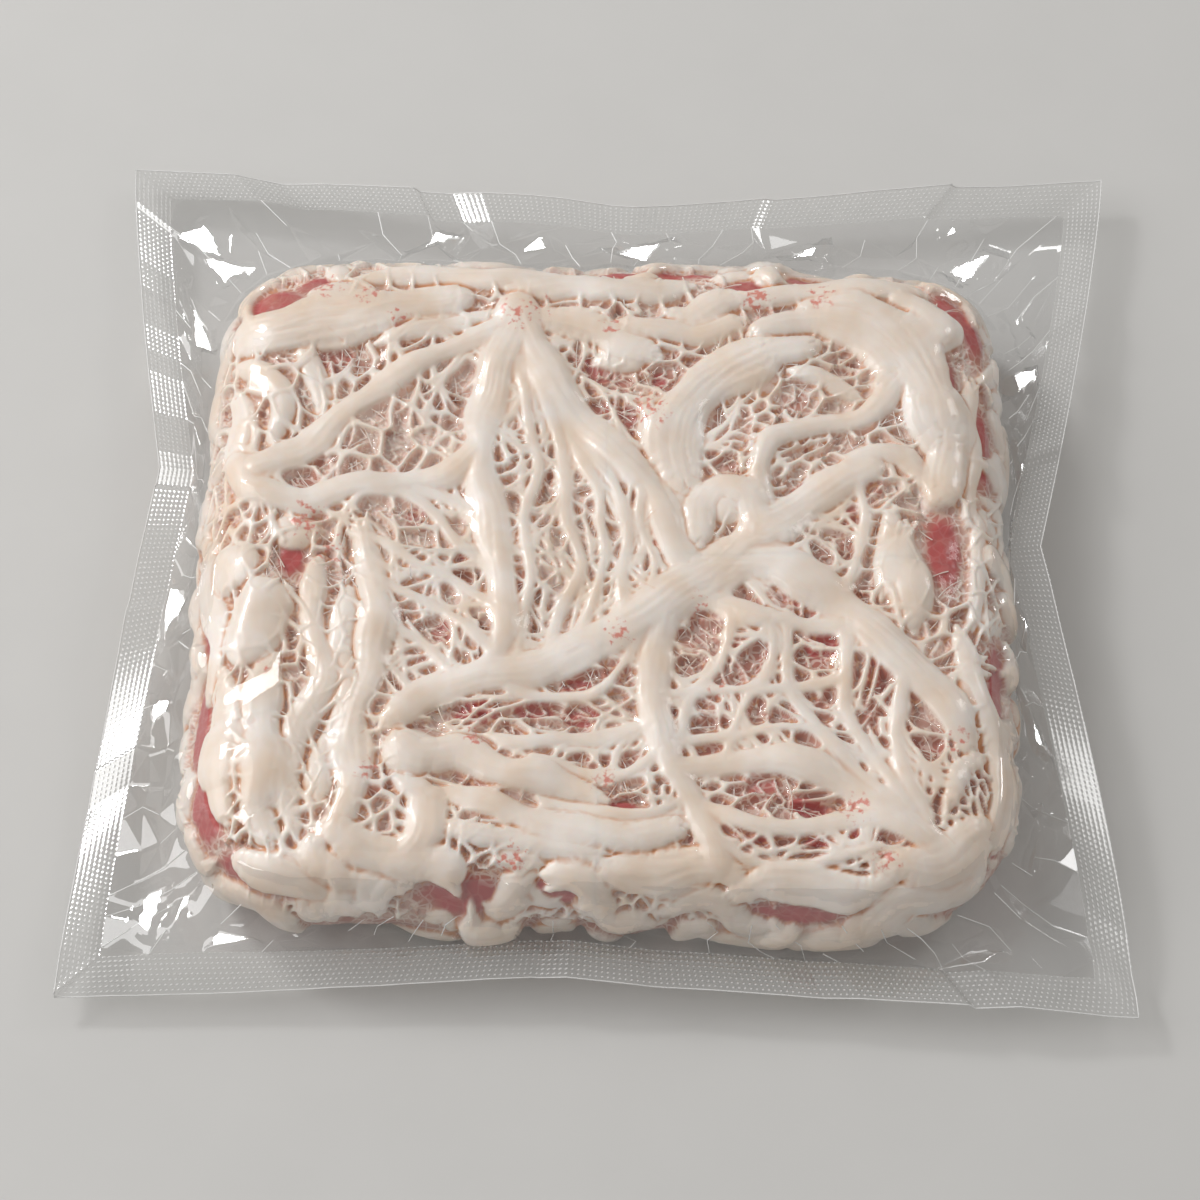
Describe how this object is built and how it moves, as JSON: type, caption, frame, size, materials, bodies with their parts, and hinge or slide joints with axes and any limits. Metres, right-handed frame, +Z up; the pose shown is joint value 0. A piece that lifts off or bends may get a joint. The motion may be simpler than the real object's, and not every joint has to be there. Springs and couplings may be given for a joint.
{
  "type": "vacuum pack of caul fat",
  "caption": "Flat square pillow of folded lacy caul fat sealed under vacuum in a clear pouch with an embossed seal border drawn in at the sides",
  "frame": {"origin": "middle of the pack's outline, on the surface that it lies on", "axes": "+X along the long side of the pouch, +Y away from the near edge, +Z up through the face that shows"},
  "size_m": [0.252, 0.237, 0.0388],
  "materials": {
    "caul_fat": "moist ivory fat with pale pink tissue under clear film",
    "clear_film": "clear glossy vacuum pouch film"
  },
  "bodies": {
    "root": {"vacuum_pack": "caul_fat"}
  },
  "joints": []
}
